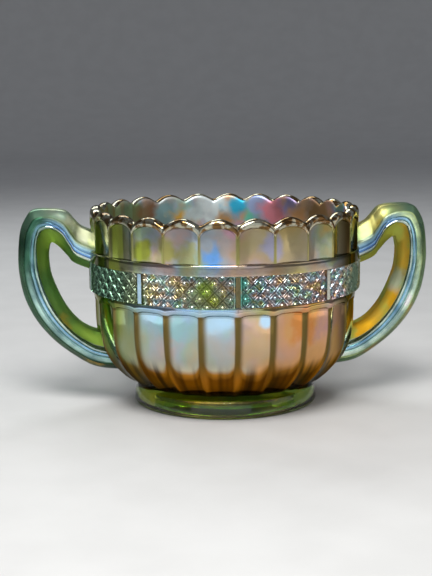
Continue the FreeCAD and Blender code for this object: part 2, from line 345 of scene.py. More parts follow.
def band_relief(turn, height):
    """Radius of the diamond band: every diamond has a rounded rim and a round button in its middle."""
    half_width = math.pi / DIAMONDS_ROUND
    half_height = (BAND_TOP - BAND_BOTTOM) / (2 * DIAMONDS_HIGH)
    column = turn / half_width
    row = (height - BAND_BOTTOM) / half_height
    diagonal_up = np.round((column + row) / 2)
    diagonal_down = np.round((column - row) / 2)
    across = column - (diagonal_up + diagonal_down)
    along = row - (diagonal_up - diagonal_down)
    edge = np.abs(across) + np.abs(along)
    corner = np.abs(np.abs(across) - np.abs(along))
    sag = RIDGE_SAG * (1 - corner) * (edge > RIM_SHARE)
    lattice = np.interp(edge, RIDGE_SHARES, RIDGE_RADII) - sag
    from_centre = np.hypot(across * half_width * RIDGE_RADIUS, along * half_height) / BUTTON_WIDTH
    button_share = 1 - np.clip(from_centre, 0, 1) ** BUTTON_FULLNESS
    button = GROOVE_RADIUS + (BUTTON_RADIUS - GROOVE_RADIUS) * button_share
    return np.maximum(lattice, button)


def make_band(materials):
    """Belt of diamonds with plain upright bars, and plain pads where the handles spring."""
    columns = DIAMONDS_ROUND * 2 * DIAMOND_STEPS
    turns = np.arange(columns) * FULL_TURN / columns
    column_degrees = 360.0 / columns
    degrees = np.degrees(turns)
    folded = np.abs((degrees + 180) % 360 - 180)
    nearest_bar = np.min(np.abs(folded[:, None] - np.array(BAR_DEGREES)[None, :]), axis=1) / column_degrees
    on_pad = np.abs(folded - 90) < HANDLE_PAD_DEGREES
    heights = np.linspace(BAND_BOTTOM, BAND_TOP, DIAMONDS_HIGH * 2 * DIAMOND_STEPS + 1)
    rows = []
    for i, height in enumerate(heights):
        radius = band_relief(turns, height)
        radius = np.where(on_pad, HANDLE_PAD_RADIUS, radius)
        radius = np.where(nearest_bar < BAR_GAP_COLUMNS, GROOVE_RADIUS, radius)
        radius = np.where(nearest_bar < BAR_COLUMNS, BAR_RADIUS + seam_ridge(turns), radius)
        if i < 1 or i > len(heights) - 2:
            radius = np.full(columns, BAND_EDGE_RADIUS)
        rows.append((radius, height))
    outside_rows = len(rows) - 1
    rows += rows_between((BAND_EDGE_RADIUS, BAND_TOP), (inside_radius(BAND_TOP), BAND_TOP), 4)
    top_rows = len(rows) - 1
    for s in np.linspace(0, 1, 9)[1:]:
        height = BAND_TOP + (BAND_BOTTOM - BAND_TOP) * s
        rows.append((inside_radius(height), height))
    inside_rows = len(rows) - 1
    rows += rows_between((inside_radius(BAND_BOTTOM), BAND_BOTTOM), (SHOULDER_TOP_RADIUS, BAND_BOTTOM), 3)
    slots = [OUTSIDE] * outside_rows + [JOINED] * (top_rows - outside_rows)
    slots += [INSIDE] * (inside_rows - top_rows)
    slots += [JOINED] * (len(rows) - 1 - len(slots)) + [OUTSIDE]
    return ring_piece("diamond_band_glass", turns, rows, True, materials, slots, BAND_SHARP_DEGREES, True)


def make_lower_bowl(materials):
    """Fluted body under its shoulder ring, with the bowl's floor."""
    turns = flute_turns()
    factor = flute_factor(turns)
    share = flute_share(turns)
    seam = seam_ridge(turns)
    low = FOOT_TOP - LAP
    top = BAND_BOTTOM + LAP
    rows = rows_between((AXIS_GAP, low), (FOOT_NECK_RADIUS * factor, low), 6, True)
    joined_rows = len(rows) - 1
    for radius, height in smooth_curve(BODY_OUTLINE, 42) * MM:
        rows.append((radius * factor + seam, height))
    wall = body_radius(BODY_OUTLINE_TOP)
    arch = BODY_ARCH_CROWN - BODY_ARCH_RISE * share**4
    flute = wall * factor
    rows += rows_between((flute + seam, BODY_OUTLINE_TOP), (flute + seam, arch), 4)
    ledge_top = arch + SHOULDER_STEP
    for s in STEP_SHARES:
        ease = s * s * (3 - 2 * s)
        rows.append((flute + (SHOULDER_RADIUS - flute) * ease + seam, arch + SHOULDER_STEP * s))
    for s in np.linspace(0, 1, 9)[1:]:
        bulge = SHOULDER_BULGE * math.sin(math.pi * s)
        radius = SHOULDER_RADIUS + (SHOULDER_TOP_RADIUS - SHOULDER_RADIUS) * s**3 + bulge
        rows.append((radius + seam, ledge_top + (top - ledge_top) * s))
    outside_rows = len(rows) - 1
    rows += rows_between((SHOULDER_TOP_RADIUS, top), (inside_radius(BAND_BOTTOM), top), 3)
    top_rows = len(rows) - 1
    inside = INSIDE_CURVE[INSIDE_CURVE[:, 1] < BAND_BOTTOM][::-6]
    for radius, height in inside[:-1]:
        rows.append((max(radius, AXIS_GAP), height))
    slots = [JOINED] * (joined_rows + 1)
    slots += [OUTSIDE] * (outside_rows - len(slots)) + [JOINED] * (top_rows - outside_rows)
    slots += [INSIDE] * (len(rows) - len(slots))
    return ring_piece("lower_bowl_glass", turns, rows, False, materials, slots)


def make_foot(materials):
    """Plain clear standing foot with a shallow recess underneath."""
    turns = np.linspace(0, FULL_TURN, 289)[:-1]
    rows = rows_between((AXIS_GAP, RECESS_HEIGHT), (RECESS_FLAT_RADIUS, RECESS_HEIGHT), 4, True)
    rows += [(radius * MM, height * MM) for radius, height in FOOT_OUTLINE]
    rows.append((FOOT_NECK_RADIUS, FOOT_TOP))
    outside_rows = len(rows) - 1
    rows += rows_between((FOOT_NECK_RADIUS, FOOT_TOP), (AXIS_GAP, FOOT_TOP), 4)
    slots = [OUTSIDE] * outside_rows + [JOINED] * (len(rows) - outside_rows)
    return ring_piece("foot_ring_glass", turns, rows, False, materials, slots)


# Handle: outer point, inner point (radius, height), half depth, and the rib's share of the width
# (0 at the inner edge, 1 at the outer edge), from the collar round to the lower body
HANDLE_STATIONS = [
    (48.0, 68.0, 49.0, 53.0, 7.4, 0.22, 0.60),
    (57.2, 71.9, 60.2, 57.4, 7.2, 0.24, 0.61),
    (60.2, 74.6, 63.4, 60.6, 7.0, 0.30, 0.63),
    (63.9, 78.3, 66.6, 64.2, 6.9, 0.38, 0.70),
    (70.6, 79.3, 69.2, 66.0, 6.8, 0.45, 0.79),
    (77.0, 78.8, 70.2, 65.0, 6.8, 0.45, 0.80),
    (80.2, 75.0, 70.6, 63.2, 6.8, 0.43, 0.80),
    (82.0, 70.0, 70.9, 61.0, 6.8, 0.40, 0.80),
    (82.9, 62.0, 70.8, 57.4, 6.8, 0.38, 0.80),
    (82.8, 54.0, 70.1, 52.6, 6.9, 0.36, 0.80),
    (80.9, 44.0, 67.8, 46.2, 7.0, 0.35, 0.80),
    (76.6, 34.8, 64.6, 39.8, 7.1, 0.35, 0.80),
    (70.0, 26.6, 60.6, 34.6, 7.2, 0.36, 0.80),
    (61.6, 19.8, 56.6, 31.4, 7.4, 0.39, 0.80),
    (52.6, 14.9, 51.6, 29.4, 7.6, 0.43, 0.80),
    (40.0, 13.2, 43.0, 27.6, 7.8, 0.45, 0.80),
]
HANDLE_ROWS = 180
HANDLE_END_SHARE = 0.14
HANDLE_CAP_RINGS = 10
RIB_GROOVE = 0.025
# Rib of the section that the lines of the handle's film are placed on
FILM_RIB = (0.45, 0.8)


def body_surface(turn, height):
    """Radius of the bowl's outside without its diamonds, where a handle joins it."""
    factor = flute_factor(turn)
    flute = ARRIS_RADIUS * factor
    up_ledge = (height - BAND_TOP) / (LEDGE_TOP - BAND_TOP)
    ledge = LEDGE_RADIUS - up_ledge * (LEDGE_RADIUS - LEDGE_TOP_RADIUS)
    collar = np.where(height < LEDGE_TOP, ledge, flute)
    body = body_radius(height) * factor
    shoulder = np.where(height > BODY_ARCH_CROWN, SHOULDER_RADIUS, body)
    radius = np.where(height > BAND_TOP, collar, HANDLE_PAD_RADIUS)
    return np.where(height < BAND_BOTTOM, shoulder, radius)


def handle_section(rib_low, rib_high):
    """Section of the handle as (share of the width, share of the half depth), all the way round."""
    span = rib_high - rib_low
    shoulder = 0.87
    front = [
        (0.02, 0.0), (0.0, 0.25), (0.0, 0.38), (0.025, 0.47), (rib_low * 0.5, 0.678),
        (rib_low - 0.03, shoulder), (rib_low, 0.94), (rib_low + 0.03, 0.985),
        (rib_low + 0.16 * span, 0.99), (rib_low + 0.23 * span, 0.99 - RIB_GROOVE),
        (rib_low + 0.30 * span, 0.995), (rib_low + 0.42 * span, 1.0),
        (rib_low + 0.50 * span, 1.0 - RIB_GROOVE), (rib_low + 0.58 * span, 1.0),
        (rib_low + 0.80 * span, 1.0), (rib_high - 0.03, 0.99), (rib_high, 0.94),
        (rib_high + 0.03, shoulder), ((rib_high + 1.0) / 2, 0.70), (0.975, 0.52), (1.0, 0.42),
        (1.0, 0.2), (1.0, 0.0),
    ]
    back = [(w, -d) for w, d in front[-2:0:-1]]
    return np.array(front + back)


def fan_cap(loop, rings, surface_turn):
    """Rings of points that close a handle's end on the bowl's surface."""
    turn = np.arctan2(loop[:, 0], -loop[:, 1])
    turn = surface_turn + (turn - surface_turn + math.pi) % FULL_TURN - math.pi
    height = loop[:, 2]
    points = []
    for ring in range(1, rings):
        shrink = 1 - ring / rings
        t = turn.mean() + (turn - turn.mean()) * shrink
        z = height.mean() + (height - height.mean()) * shrink
        r = body_surface(t, z) - LAP
        points.append(np.stack([r * np.sin(t), -r * np.cos(t), z], axis=-1))
    t, z = turn.mean(), height.mean()
    r = float(body_surface(np.array([t]), np.array([z]))[0]) - LAP
    centre = np.array([[r * math.sin(t), -r * math.cos(t), z]])
    return points, centre


def handle_rows(side):
    """Points of the handle's sections, in rows that reach into the bowl at both ends."""
    rows = []
    stations = smooth_curve(HANDLE_STATIONS, HANDLE_ROWS)
    for outer_r, outer_z, inner_r, inner_z, depth, rib_low, rib_high in stations:
        section = handle_section(rib_low, rib_high)
        r = inner_r + (outer_r - inner_r) * section[:, 0]
        z = inner_z + (outer_z - inner_z) * section[:, 0]
        rows.append(np.stack([side * r, -side * depth * section[:, 1], z], axis=-1) * MM)
    return np.array(rows)


def ended_on_body(points):
    """The same rows, drawn together near the ends so that every line of points stops on the bowl."""
    turn = np.arctan2(points[..., 0], -points[..., 1])
    gap = np.hypot(points[..., 0], points[..., 1]) - body_surface(turn, points[..., 2]) + LAP
    rows, columns = gap.shape
    half = rows // 2
    index = np.arange(rows, dtype=float)
    near = HANDLE_END_SHARE * rows
    far = rows - 1 - near
    ended = np.empty_like(points)
    for column in range(columns):
        g = gap[:, column]
        a = max(i for i in range(half) if g[i] < 0)
        b = min(i for i in range(half, rows) if g[i] < 0)
        start = a + g[a] / (g[a] - g[a + 1])
        end = b - 1 + g[b - 1] / (g[b - 1] - g[b])
        where = np.where(index < near, start + (near - start) * index / near, index)
        where = np.where(index > far, far + (end - far) * (index - far) / near, where)
        for axis in range(3):
            ended[:, column, axis] = np.interp(where, index, points[:, column, axis])
    return ended


def cap_faces(edge, first, columns, flip):
    """Faces that close a handle's end, whose points start at edge, with the cap's, which start at first."""
    starts = [edge] + [first + ring * columns for ring in range(HANDLE_CAP_RINGS - 1)]
    pole = first + (HANDLE_CAP_RINGS - 1) * columns
    faces = []
    for before, after in zip(starts, starts[1:]):
        for i in range(columns):
            j = (i + 1) % columns
            faces.append((before + i, before + j, after + j, after + i))
    faces += [(starts[-1] + i, starts[-1] + (i + 1) % columns, pole) for i in range(columns)]
    return [face[::-1] for face in faces] if flip else faces


def make_handle(name, side, materials):
    """Faceted ear handle on one side (+1 or -1), ending on the bowl's surface at both roots."""
    points = ended_on_body(handle_rows(side))
    rows, columns = points.shape[:2]
    vertices = points.reshape(-1, 3)
    faces = []
    for row in range(rows - 1):
        a, b = row * columns, (row + 1) * columns
        for i in range(columns):
            j = (i + 1) % columns
            faces.append((a + i, b + i, b + j, a + j))
    slots = [OUTSIDE] * len(faces)
    for last, flip in ((0, False), (rows - 1, True)):
        rings, centre = fan_cap(points[last], HANDLE_CAP_RINGS, side * QUARTER_TURN)
        faces += cap_faces(last * columns, len(vertices), columns, flip)
        vertices = np.vstack([vertices] + rings + [centre])
    slots += [JOINED] * (len(faces) - len(slots))
    piece = new_object(name, vertices, faces, materials, slots, HANDLE_SHARP_DEGREES)
    across = np.full(len(vertices), 0.5)
    across[: rows * columns] = np.tile(handle_section(*FILM_RIB)[:, 0], rows)
    piece.data.attributes.new("across", "FLOAT", "POINT").data.foreach_set("value", across.astype(np.float32))
    return piece


# Materials. Colours are linear RGB. The film's colour drifts with height and from side to side; part of that
# drift is painted shade, low on the body and at the far right, and some marks are painted highlights,
# reflections and light, noted where they stand.

# Colours across a rib, as shares of the handle's width, and the same on the upper arms: painted highlights in
# the pale and blue lines, painted shade in the dark lines over the rib's grooves
RIB_LIGHT_AND_SHADE = [
    (0.46, (0.50, 0.66, 0.56)), (0.505, (0.60, 0.74, 0.70)), (0.53, (0.12, 0.28, 0.26)),
    (0.56, (0.30, 0.58, 0.80)), (0.60, (0.42, 0.66, 0.82)), (0.625, (0.14, 0.32, 0.30)),
]
ARM_LIGHT_AND_SHADE = [
    (0.46, (0.46, 0.58, 0.44)), (0.51, (0.70, 0.78, 0.76)), (0.53, (0.10, 0.22, 0.40)),
    (0.57, (0.16, 0.38, 0.90)), (0.60, (0.55, 0.80, 1.0)), (0.63, (0.10, 0.26, 0.50)),
    (0.70, (0.40, 0.66, 0.80)), (0.78, (0.50, 0.60, 0.40)),
]


def set_socket(socket, value):
    """Puts a plain value on a socket; a colour is given as (red, green, blue)."""
    socket.default_value = (*value, 1) if socket.type == "RGBA" else value


class Look:
    """One material's node tree, with short names for the few kinds of node that are used here."""

    def __init__(self, name):
        self.material = bpy.data.materials.new(name)
        self.material.use_nodes = True
        self.tree = self.material.node_tree
        self.shader = self.tree.nodes["Principled BSDF"]
        self.point = self.tree.nodes.new("ShaderNodeTexCoord").outputs["Object"]
        parts = self.node("ShaderNodeSeparateXYZ", {0: self.point}).outputs
        self.x, self.y, self.z = parts[0], parts[1], parts[2]
        turn = self.math("ARCTAN2", self.x, self.times(self.y, -1.0))
        phase = self.math("FRACT", self.math("DIVIDE", turn, FLUTE_STEP))
        self.across_flute = self.times(self.minus(phase, 0.5), 2.0)
        self.from_flute = self.math("ABSOLUTE", self.across_flute)

    def node(self, kind, inputs, **settings):
        made = self.tree.nodes.new(kind)
        for key, value in settings.items():
            setattr(made, key, value)
        for key, value in inputs.items():
            if isinstance(value, bpy.types.NodeSocket):
                self.tree.links.new(value, made.inputs[key])
            else:
                set_socket(made.inputs[key], value)
        return made

    def math(self, operation, first, second=0.0):
        return self.node("ShaderNodeMath", {0: first, 1: second}, operation=operation).outputs[0]

    def times(self, first, second):
        return self.math("MULTIPLY", first, second)

    def plus(self, first, second):
        return self.math("ADD", first, second)

    def minus(self, first, second):
        return self.math("SUBTRACT", first, second)

    def larger(self, first, second):
        return self.math("MAXIMUM", first, second)

    def vector(self, operation, *inputs):
        return self.node("ShaderNodeVectorMath", dict(enumerate(inputs)), operation=operation).outputs

    def span(self, value, low, high, start=0.0, end=1.0):
        """Eases from start to end while value goes from low to high."""
        inputs = {0: value, 1: low, 2: high, 3: start, 4: end}
        return self.node("ShaderNodeMapRange", inputs, interpolation_type="SMOOTHSTEP").outputs[0]

    def noise(self, scale, detail=2.0, stretch=(1, 1, 1), shift=(0, 0, 0)):
        inputs = {"Vector": self.point, "Scale": stretch, "Location": shift}
        place = self.node("ShaderNodeMapping", inputs).outputs[0]
        return self.node("ShaderNodeTexNoise", {"Vector": place, "Scale": scale, "Detail": detail}).outputs[0]

    def sway(self, noise, reach):
        """Noise that swings about 0 over a reach."""
        return self.times(self.minus(noise, 0.5), reach)

    def upright_noise(self, scale):
        """Noise that changes only round the axis, for upright streaks."""
        flat = self.vector("MULTIPLY", self.point, LEVEL)[0]
        unit = self.vector("NORMALIZE", flat)[0]
        place = self.vector("MULTIPLY", unit, (STREAK_RADIUS,) * 3)[0]
        return self.node("ShaderNodeTexNoise", {"Vector": place, "Scale": scale, "Detail": 1.0}).outputs[0]

    def mix(self, share, first, second, blend="MIX"):
        inputs = {0: share, 6: first, 7: second}
        return self.node("ShaderNodeMix", inputs, data_type="RGBA", blend_type=blend).outputs[2]

    def ramp(self, value, stops):
        """Colour that passes through (position, colour) stops."""
        made = self.node("ShaderNodeValToRGB", {0: value})
        elements = made.color_ramp.elements
        while len(elements) < len(stops):
            elements.new(1.0)
        for element, (position, color) in zip(elements, stops):
            element.position = position
            element.color = (*color, 1)
        return made.outputs[0]

    def by_height(self, stops, wobble=0.0, drop=0.0):
        """Colour that passes through (height in mm, colour) stops, with an uneven edge and a local drop."""
        drift = self.sway(self.noise(60.0), wobble * MM)
        height = self.minus(self.plus(self.z, drift), drop)
        share = self.math("DIVIDE", height, RIM_CREST)
        return self.ramp(share, [(height * MM / RIM_CREST, color) for height, color in stops])

    def near(self, place, size):
        """1 at a place in mm on the surface, easing to 0 at a distance of size mm with an uneven edge."""
        distance = self.vector("DISTANCE", self.point, [value * MM for value in place])["Value"]
        uneven = self.sway(self.noise(130.0, 3.0), 2.2 * size * MM)
        return self.span(self.plus(distance, uneven), 1.1 * size * MM, 0.35 * size * MM)

    def link(self, socket, output):
        self.tree.links.new(output, self.shader.inputs[socket])

    def fixed(self, **values):
        """Values that are the same all over the surface."""
        for key, value in values.items():
            set_socket(self.shader.inputs[key.replace("_", " ")], value)

    def ripple(self, coarse, fine_scale, grain):
        """Uneven glass: coarse noise with a share of finer noise."""
        fine = self.times(self.noise(fine_scale, 1.0), grain)
        self.bump(self.plus(coarse, fine), RIPPLE_DEPTH)

    def bump(self, height, depth):
        inputs = {"Height": height, "Distance": depth, "Strength": 1.0}
        self.link("Normal", self.node("ShaderNodeBump", inputs).outputs[0])


GLASS_IOR = 1.52
STREAK_RADIUS = 45 * MM
SIDE_WANDER = 30 * MM
RIPPLE_DEPTH = 0.05 * MM
LEVEL = (1, 1, 0)
WHITE = (1, 1, 1)

# Tint of what the glass mirrors at a grazing angle
EDGE_TINT = (0.55, 0.55, 0.45)

# Deep amber of the film low on the body, which also serves as painted shade under the bowl
DEEP_AMBER_AND_SHADE = (0.13, 0.05, 0.002)
AMBER = (0.36, 0.17, 0.02)
TAN = (0.50, 0.43, 0.28)
SILVER = (0.56, 0.55, 0.46)
BLUE_SILVER = (0.46, 0.62, 0.68)
# Blue-white of a painted highlight
PAINTED_HIGHLIGHT_BLUE = (0.50, 0.72, 0.92)
LAVENDER = (0.50, 0.46, 0.66)
SKY = (0.30, 0.55, 0.90)
TEAL = (0.20, 0.60, 0.50)
PINK = (0.72, 0.42, 0.50)
PEACH = (0.78, 0.42, 0.17)
ORANGE = (0.75, 0.30, 0.08)
GOLD = (0.62, 0.46, 0.12)
OLIVE = (0.30, 0.34, 0.09)
RIDGE_GREEN = (0.09, 0.12, 0.05)
MOSS = (0.16, 0.24, 0.05)
# Painted shade: the dark brown that the film turns to at the far right
PAINTED_SHADE_BROWN = (0.07, 0.045, 0.015)

IRIDESCENCE = [
    (0.30, GOLD), (0.38, PEACH), (0.44, PINK), (0.50, LAVENDER), (0.56, SKY), (0.62, TEAL),
    (0.70, GOLD),
]

# Zones in which one look of the film passes into another, from side to side (x)
WARM_SIDE = (-2 * MM, 10 * MM)
BARE_GLASS = (-24 * MM, -46 * MM)
THIN_FILM = (-26 * MM, -50 * MM)
# painted shade low on the -X side
LOW_SHADE_SIDE = (-18 * MM, -34 * MM)
# painted shade at the far right
PAINTED_SHADE_RIGHT = (36 * MM, 46 * MM)
MIDDLE_BARS = (-20 * MM, -10 * MM)
RIGHT_BARS = (10 * MM, 20 * MM)
# in height
PATCHED = (21 * MM, 28 * MM)
UPPER_ARRIS = (16 * MM, 30 * MM)
UPPER_FILM = (16 * MM, 21 * MM)
# where upright streaks of painted light and shade come in, low down
STREAKED = (26 * MM, 18 * MM)
# the height under which that painted shade on the -X side comes in
LOW_SHADE_HEIGHT = (24 * MM, 18 * MM)
# and in radius: the tops of the ridges and buttons, and the faces of the bars
RIDGE_TOPS = (54.84 * MM, 54.96 * MM)
BAR_FACES = (BAR_RADIUS - 0.04 * MM, BAR_RADIUS - 0.01 * MM)


def clear_joint():
    """Glass between two regions of the one casting: it neither tints nor shines."""
    look = Look("joined_glass")
    look.fixed(Base_Color=WHITE, Transmission_Weight=1, Roughness=0, IOR=GLASS_IOR)
    return look.material


@dataclass
class Film:
    """Settings of one film of iridescence. The two lists hold (height in mm, colour), from the foot up."""

    name: str
    middle: list  # colours round the front and back
    warm: list  # and on the +X side
    left: tuple  # bare glass on the -X side
    left_light_streaks: tuple  # and the brighter upright streaks in it: painted light shining through the glass
    arris: tuple = ()  # colours of the painted shade along the arrises, low and high
    arris_sharp: tuple = (0.76, 0.84)  # where a flute's bright film ends on its right, at the sharp edge of the arris's painted shade
    arris_soft: tuple = (0.60, 0.95)  # and on its left
    fluted: tuple = (0.0, RIM_CREST)  # heights between which there are flutes
    corner: float = 0.0  # how much sooner the bright film ends at an arris than in a flute, so that the painted shade below it reaches higher there
    cover: tuple = (0.8, 0.8)  # share of the glass that the film hides, at the foot and higher up
    left_cover: float = 0.6  # and how much of that is left on the -X side
    patches: float = 0.4  # strength of the patches of iridescence
    patch_scale: float = 52.0
    patch_stretch: tuple = (1, 1, 1)
    right_shade: float = 1.0  # share of painted shade, dark brown, at the far right
    clouds: tuple = ()  # (place in mm, size in mm, colour) of single clouds of colour
    roughness: tuple = (0.05, 0.14)
    grain: float = 0.12  # share of fine unevenness in the ripple
    lip: tuple = ()  # two colours above the arches of the flutes
    bars: tuple = ()  # colours of the upright bars on the left, in the middle and on the right; those on the left and right are painted reflections


def film_color(look, film, side, drop):
    """Colour of the film between the arrises, with upright streaks of painted light on the -X side and
    painted shade at the far right.
    """
    color = look.by_height(film.middle, 5.0, drop)
    color = look.mix(look.span(side, *WARM_SIDE), color, look.by_height(film.warm, 5.0, drop))
    patch_noise = look.noise(film.patch_scale, 3.0, stretch=film.patch_stretch, shift=(0.3, 0.1, 0.2))
    where = look.span(look.noise(33.0, 1.0, shift=(0.7, 0.2, 0.5)), 0.38, 0.58, 0.0, film.patches)
    height = look.minus(look.z, drop)
    where = look.times(where, look.span(height, *PATCHED))
    color = look.mix(where, color, look.ramp(patch_noise, IRIDESCENCE))
    for place, size, cloud in film.clouds:
        color = look.mix(look.near(place, size), color, cloud)
    # Painted light: brighter upright streaks where light shines through the bare glass on the -X side
    light_streaks = look.span(look.noise(190.0, 1.0, stretch=(1, 1, 0.05)), 0.48, 0.60)
    left = look.mix(light_streaks, film.left, film.left_light_streaks)
    color = look.mix(look.span(side, *BARE_GLASS), color, left)
    # At the far right the film turns dark brown: painted shade
    return look.mix(look.span(look.x, *PAINTED_SHADE_RIGHT, 0.0, film.right_shade), color, PAINTED_SHADE_BROWN)


def arris_shade_color(look, film, color):
    """Adds painted shade along the arrises, between the bright reflections in the flutes: sharp on the right
    of a flute and soft on its left.
    """
    uneven = look.sway(look.noise(220.0, 2.0, stretch=(1, 1, 0.12)), 0.2)
    right = look.span(look.plus(look.across_flute, uneven), *film.arris_sharp)
    mirrored = look.times(look.across_flute, -1.0)
    left = look.span(look.plus(mirrored, uneven), *film.arris_soft)
    arris = look.mix(look.span(look.z, *UPPER_ARRIS), film.arris[0], film.arris[1])
    low, high = film.fluted
    above = look.span(look.z, low - 0.3 * MM, low + 0.3 * MM)
    below = look.span(look.z, high + 0.3 * MM, high - 0.3 * MM)
    either = look.larger(left, right)
    share = look.times(either, look.times(above, below))
    return look.mix(share, color, arris)


def lip_color(look, film, color):
    """Adds the browner film on the lip, above the arches of the flutes."""
    steep = look.minus(1.0, look.math("POWER", look.from_flute, ARCH_POWER))
    fall = look.minus(1.0, look.math("SQRT", steep))
    arch = look.minus(ARCH_CROWN, look.times(fall, ARCH_RISE))
    above = look.minus(look.z, arch)
    mottle = look.span(look.noise(360.0, 3.0), 0.44, 0.56)
    lip = look.mix(mottle, film.lip[0], film.lip[1])
    return look.mix(look.span(above, 0.1 * MM, 0.5 * MM), color, lip)


def bar_color(look, film, color):
    """Adds darker glass on the tops of the diamonds, and the plain bars, which stand out further and carry
    painted reflections on the left and right.
    """
    flat = look.vector("MULTIPLY", look.point, LEVEL)[0]
    radius = look.vector("LENGTH", flat)["Value"]
    ridge = look.span(radius, *RIDGE_TOPS, 0.0, 0.65)
    color = look.mix(ridge, color, RIDGE_GREEN)
    # Bars by side: a pale blue painted reflection on the left, olive-brown in the middle, a silver painted
    # reflection on the right
    bar = look.mix(look.span(look.x, *MIDDLE_BARS), film.bars[0], film.bars[1])
    bar = look.mix(look.span(look.x, *RIGHT_BARS), bar, film.bars[2])
    return look.mix(look.span(radius, *BAR_FACES), color, bar)


def film_glass(film):
    """Green glass under an iridescent film, with painted shade low down and at the far right, painted
    highlights and reflections in some clouds and on the bars, and upright streaks of painted light.
    """
    look = Look(film.name)
    wander = look.sway(look.noise(38.0), SIDE_WANDER)
    side = look.plus(look.x, wander)
    drop = look.times(look.math("POWER", look.from_flute, 4.0), film.corner)
    color = film_color(look, film, side, drop)
    # Painted shade along the arrises
    if film.arris:
        color = arris_shade_color(look, film, color)
    if film.lip:
        color = lip_color(look, film, color)
    if film.bars:
        color = bar_color(look, film, color)
    # Painted light and shade: lighter and darker upright streaks low down, mostly on the body
    streak = look.upright_noise(300.0)
    low = look.span(look.z, *STREAKED)
    # Painted shade: low on the -X side the film darkens to deep amber
    edge = look.span(look.x, *LOW_SHADE_SIDE, 0.0, 0.75)
    height = look.minus(look.z, drop)
    edge = look.times(edge, look.span(height, *LOW_SHADE_HEIGHT))
    color = look.mix(edge, color, DEEP_AMBER_AND_SHADE)
    shade = look.ramp(streak, [(0.40, (0.35, 0.30, 0.28)), (0.62, (1.7, 1.5, 1.2))])
    color = look.mix(1.0, color, look.mix(low, WHITE, shade), "MULTIPLY")
    look.link("Base Color", color)
    cover = look.span(look.minus(look.z, drop), *UPPER_FILM, *film.cover)
    thin = look.span(side, *THIN_FILM, 1.0, film.left_cover)
    # Under the painted shade at the far right the film turns almost fully metallic, so that no light shows
    # through
    shaded = look.span(look.x, *PAINTED_SHADE_RIGHT, 0.0, 0.97 * film.right_shade)
    look.link("Metallic", look.larger(look.times(cover, thin), shaded))
    look.link("Roughness", look.span(look.noise(140.0, 3.0), 0.3, 0.7, *film.roughness))
    look.fixed(Transmission_Weight=1, IOR=GLASS_IOR, Specular_Tint=EDGE_TINT)
    look.ripple(look.noise(150.0, 2.0, stretch=(1, 1, 0.5)), 420.0, film.grain)
    return look.material


# Bluer cloud at the front of the foot: place and size in mm
FOOT_CLOUD = ((2, -37, 4), 18)


def foot_glass():
    """Clear yellow-green glass with no film, deeper in colour towards the table."""
    look = Look("foot_green")
    cloud = look.span(look.noise(95.0, 3.0), 0.40, 0.60)
    yellow = look.mix(cloud, (0.98, 1.0, 0.05), (0.50, 0.74, 0.12))
    front = look.near(*FOOT_CLOUD)
    yellow = look.mix(look.times(front, 0.6), yellow, (0.24, 0.56, 0.34))
    deep = look.span(look.z, 5 * MM, 0.5 * MM)
    look.link("Base Color", look.mix(deep, yellow, (0.40, 0.70, 0.16)))
    look.link("Roughness", look.span(look.noise(200.0, 2.0), 0.3, 0.7, 0.01, 0.05))
    look.fixed(Transmission_Weight=1, IOR=GLASS_IOR)
    look.bump(look.noise(260.0, 2.0), 0.04 * MM)
    return look.material


# Zones of the handle's glass: depth from the middle plane, side (x), height, reach from the axis
RIB_DEPTH = (6.1 * MM, 6.5 * MM)
HANDLE_SIDES = (-10 * MM, 10 * MM)
HANDLE_LOW = (60 * MM, 40 * MM)
HANDLE_HIGH = (66 * MM, 74 * MM)
ARM_HEIGHT = (52 * MM, 58 * MM)
ARM_REACH = (74 * MM, 66 * MM)
BEND_REACH = (66 * MM, 76 * MM)
# Clouds of gold, and one pale painted highlight on the right handle's inner face: place and size in mm
GOLD_CLOUDS = [((-66, -6, 32), 5), ((-53, -6, 20), 5), ((70, -6, 38), 9), ((58, -6, 26), 9)]
PAINTED_HIGHLIGHT_CLOUD = ((70, -5, 49), 6)


